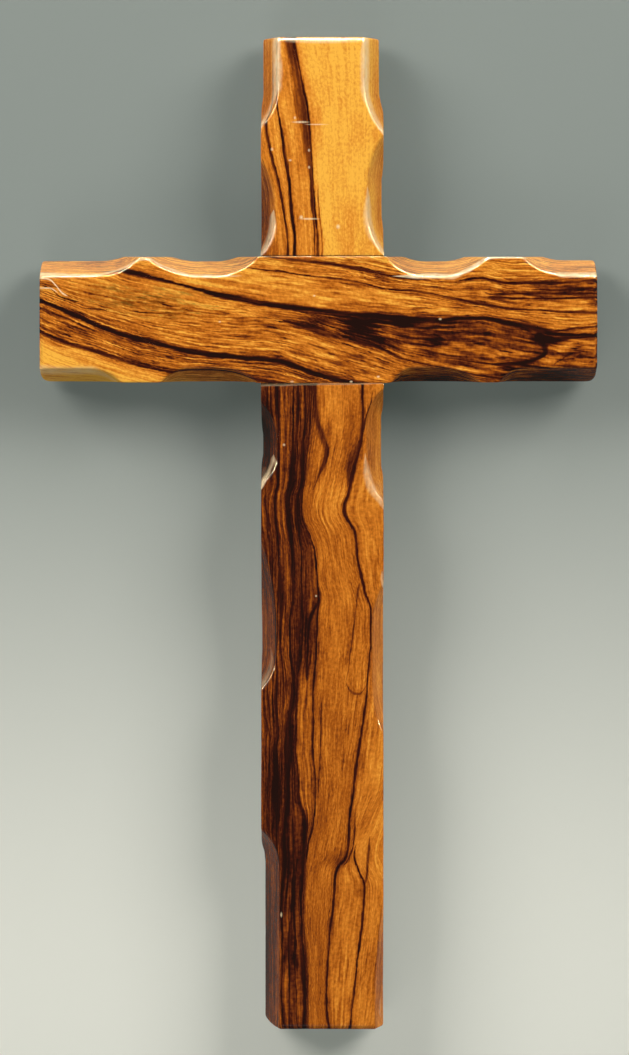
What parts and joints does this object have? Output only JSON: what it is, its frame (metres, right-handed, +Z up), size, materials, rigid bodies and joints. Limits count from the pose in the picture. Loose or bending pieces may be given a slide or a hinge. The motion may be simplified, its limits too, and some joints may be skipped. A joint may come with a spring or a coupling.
{
  "type": "wall cross",
  "caption": "Plain carved olive-wood wall cross: an upright and a crossbar halved together and glued flush, with scalloped front edges and a nailed ring hanger behind the head.",
  "frame": {"origin": "on the back plane of the wood, on the axis of the wall nail that the hanger ring hangs on", "axes": "+Z up along the upright, +X to the right as seen from the front, +Y out of the back towards the wall"},
  "size_m": [0.1425, 0.0188, 0.254],
  "materials": {
    "upright_wood": "gloss lacquer",
    "crossbar_wood": "gloss lacquer",
    "cured_glue": "clear amber",
    "hanger_brass": "stamped and tumbled",
    "ring_brass": "drawn wire"
  },
  "bodies": {
    "cross": {"upright": "upright_wood", "crossbar": "crossbar_wood", "lap_glue": "cured_glue", "hanger_strap": "hanger_brass", "hanger_nail": "hanger_brass"},
    "ring": {"hanger_ring": "ring_brass"}
  },
  "joints": [
    {"name": "ring_swing", "type": "hinge", "parent": "cross", "child": "ring", "pos_m": [0, 0.00138, -0.00625], "axis": [-1, 0, 0], "range_deg": [-3, 165]}
  ]
}
